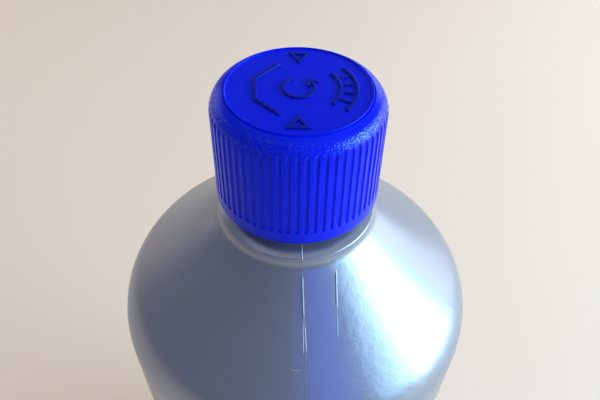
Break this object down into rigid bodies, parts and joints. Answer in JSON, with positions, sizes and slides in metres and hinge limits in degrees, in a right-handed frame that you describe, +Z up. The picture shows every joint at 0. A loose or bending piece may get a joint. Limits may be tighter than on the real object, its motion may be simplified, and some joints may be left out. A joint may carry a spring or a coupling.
{
  "type": "drain cleaner bottle",
  "caption": "Round plastic bottle with a conical shoulder, a stepped collar and a threaded neck, closed by a ribbed squeeze-and-turn screw cap with a foam liner.",
  "frame": {"origin": "middle of the plane that the bottle stands on", "axes": "+Z up along the bottle's axis; -Y is the side that faces the viewer, with the cap's squeeze marks in front and behind"},
  "size_m": [0.0894, 0.0894, 0.2227],
  "materials": {
    "bottle_plastic": "pearl silver, moulded, semi-gloss",
    "cap_plastic": "royal blue, moulded, fine eroded grain",
    "liner_foam": "white closed-cell foam, matte"
  },
  "bodies": {
    "bottle": {"bottle": "bottle_plastic"},
    "liner": {"liner": "liner_foam"},
    "cap": {"cap": "cap_plastic"}
  },
  "joints": [
    {"name": "cap_lift", "type": "slide", "parent": "bottle", "child": "liner", "axis": [0, 0, 1], "range_m": [0, 0.0284]},
    {"name": "cap_turn", "type": "hinge", "parent": "liner", "child": "cap", "pos_m": [0, 0, 0.2], "axis": [0, 0, 1], "range_deg": [0, 2430]}
  ],
  "couplings": [
    {"joint": "cap_lift", "follows": "cap_turn", "m_per_rad": 0.00066845}
  ]
}
